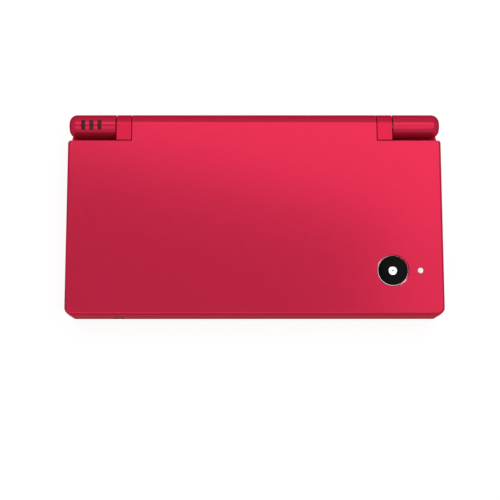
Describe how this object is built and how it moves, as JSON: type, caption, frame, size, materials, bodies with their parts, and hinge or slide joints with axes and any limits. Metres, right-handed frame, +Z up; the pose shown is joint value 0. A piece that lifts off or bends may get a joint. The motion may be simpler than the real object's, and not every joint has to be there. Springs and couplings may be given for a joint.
{
  "type": "clamshell handheld game console",
  "caption": "Folding handheld game console with a hinged lid, screens in both halves, direction pad, keys, shoulder buttons, card slots, cameras and a stylus.",
  "frame": {"origin": "centre of the closed console's footprint, on the surface its feet stand on", "axes": "+X to the right as the player holds it, +Y from the front edge to the hinge at the rear, +Z up from the feet to the closed lid's top"},
  "size_m": [0.137, 0.075, 0.0189],
  "materials": {
    "casing": "satin crimson",
    "keys": "satin crimson",
    "steel": "plain",
    "bright_ring": "polished",
    "rubber": "matte",
    "key_rubber": "matte",
    "battery_wrap": "printed film, left plain",
    "circuit_board": "solder resist",
    "black_plastic": "matte",
    "display": "gloss, switched off",
    "black_window": "gloss",
    "smoked_plastic": "smoked, lamps off",
    "milky_plastic": "milky",
    "flex": "polyimide film"
  },
  "bodies": {
    "base": {"base_top_shell": "casing", "base_bottom_shell": "casing", "battery_cover": "casing", "battery_cover_screw_right": "steel", "battery_cover_screw_left": "steel", "case_screw_right": "steel", "case_screw_left": "steel", "foot_front_right": "rubber", "foot_front_left": "rubber", "foot_rear_right": "rubber", "foot_rear_left": "rubber", "battery": "battery_wrap", "main_board": "circuit_board", "card_socket": "black_plastic", "memory_card_socket": "steel", "charging_socket": "steel", "headphone_jack": "black_plastic", "lower_display": "display", "touch_panel": "display", "indicator_light_guide": "smoked_plastic", "hinge_cartridge": "steel", "board_flex": "flex", "face_button_membrane": "key_rubber", "start_select_membrane": "key_rubber", "power_button_membrane": "key_rubber", "shoulder_pin_right": "steel", "shoulder_pin_left": "steel"},
    "lid": {"lid_outer_shell": "casing", "lid_inner_shell": "casing", "upper_display": "display", "upper_screen_window": "black_window", "speaker_right": "black_plastic", "speaker_left": "black_plastic", "outer_camera_ring": "bright_ring", "outer_camera_window": "black_window", "outer_camera_module": "black_plastic", "outer_camera_lamp": "milky_plastic", "inner_camera_module": "black_plastic", "hinge_shaft": "steel", "left_hinge_sleeve": "casing", "display_flex": "flex", "bumper_front_right": "rubber", "bumper_front_left": "rubber", "bumper_rear_right": "rubber", "bumper_rear_left": "rubber"},
    "direction_pad_rocker": {"direction_pad_membrane": "key_rubber"},
    "direction_pad": {"direction_pad": "keys"},
    "face_button_right": {"face_button_right": "keys"},
    "face_button_lower": {"face_button_lower": "keys"},
    "face_button_upper": {"face_button_upper": "keys"},
    "face_button_left": {"face_button_left": "keys"},
    "start_button": {"start_button": "keys"},
    "select_button": {"select_button": "keys"},
    "power_button": {"power_button": "keys"},
    "volume_up_button": {"volume_up_button": "keys"},
    "volume_down_button": {"volume_down_button": "keys"},
    "shoulder_button_right": {"shoulder_button_right": "casing"},
    "shoulder_button_left": {"shoulder_button_left": "casing"},
    "memory_card_door": {"memory_card_door": "casing"},
    "stylus": {"stylus": "keys"}
  },
  "joints": [
    {"name": "lid_hinge", "type": "hinge", "parent": "base", "child": "lid", "pos_m": [0, 0.0332, 0.01465], "axis": [-1, 0, 0], "range_deg": [0, 160]},
    {"name": "direction_pad_fore_aft", "type": "hinge", "parent": "base", "child": "direction_pad_rocker", "pos_m": [-0.052, 0.006, 0.008], "axis": [1, 0, 0], "range_deg": [-2.9, 2.9], "stiffness_Nm_per_rad": 0.2, "deforming": ["direction_pad_membrane"]},
    {"name": "direction_pad_left_right", "type": "hinge", "parent": "direction_pad_rocker", "child": "direction_pad", "pos_m": [-0.052, 0.006, 0.008], "axis": [0, 1, 0], "range_deg": [-2.9, 2.9], "stiffness_Nm_per_rad": 0.2, "deforming": ["direction_pad_membrane"]},
    {"name": "face_button_right_press", "type": "slide", "parent": "base", "child": "face_button_right", "axis": [0, 0, -1], "range_m": [0, 0.0007], "stiffness_N_per_m": 200, "springref_m": -0.001, "deforming": ["face_button_membrane"]},
    {"name": "face_button_lower_press", "type": "slide", "parent": "base", "child": "face_button_lower", "axis": [0, 0, -1], "range_m": [0, 0.0007], "stiffness_N_per_m": 200, "springref_m": -0.001, "deforming": ["face_button_membrane"]},
    {"name": "face_button_upper_press", "type": "slide", "parent": "base", "child": "face_button_upper", "axis": [0, 0, -1], "range_m": [0, 0.0007], "stiffness_N_per_m": 200, "springref_m": -0.001, "deforming": ["face_button_membrane"]},
    {"name": "face_button_left_press", "type": "slide", "parent": "base", "child": "face_button_left", "axis": [0, 0, -1], "range_m": [0, 0.0007], "stiffness_N_per_m": 200, "springref_m": -0.001, "deforming": ["face_button_membrane"]},
    {"name": "start_button_press", "type": "slide", "parent": "base", "child": "start_button", "axis": [0, 0, -1], "range_m": [0, 0.0007], "stiffness_N_per_m": 200, "springref_m": -0.001, "deforming": ["start_select_membrane"]},
    {"name": "select_button_press", "type": "slide", "parent": "base", "child": "select_button", "axis": [0, 0, -1], "range_m": [0, 0.0007], "stiffness_N_per_m": 200, "springref_m": -0.001, "deforming": ["start_select_membrane"]},
    {"name": "power_button_press", "type": "slide", "parent": "base", "child": "power_button", "axis": [0, 0, -1], "range_m": [0, 0.0007], "stiffness_N_per_m": 200, "springref_m": -0.001, "deforming": ["power_button_membrane"]},
    {"name": "volume_up_press", "type": "slide", "parent": "base", "child": "volume_up_button", "axis": [1, 0, 0], "range_m": [0, 0.0004], "stiffness_N_per_m": 200, "springref_m": -0.001},
    {"name": "volume_down_press", "type": "slide", "parent": "base", "child": "volume_down_button", "axis": [1, 0, 0], "range_m": [0, 0.0004], "stiffness_N_per_m": 200, "springref_m": -0.001},
    {"name": "shoulder_right_press", "type": "hinge", "parent": "base", "child": "shoulder_button_right", "pos_m": [0.043, 0.03585, 0.0058], "axis": [0, 0, -1], "range_deg": [0, 1.6], "stiffness_Nm_per_rad": 0.2, "springref_deg": -2.86},
    {"name": "shoulder_left_press", "type": "hinge", "parent": "base", "child": "shoulder_button_left", "pos_m": [-0.043, 0.03585, 0.0058], "axis": [0, 0, 1], "range_deg": [0, 1.6], "stiffness_Nm_per_rad": 0.2, "springref_deg": -2.86},
    {"name": "memory_card_door_hinge", "type": "hinge", "parent": "base", "child": "memory_card_door", "pos_m": [0.0677, 0.0122, 0.0033], "axis": [0, 1, 0], "range_deg": [0, 95]},
    {"name": "stylus_slide", "type": "slide", "parent": "base", "child": "stylus", "axis": [1, 0, 0], "range_m": [0, 0.092]}
  ]
}
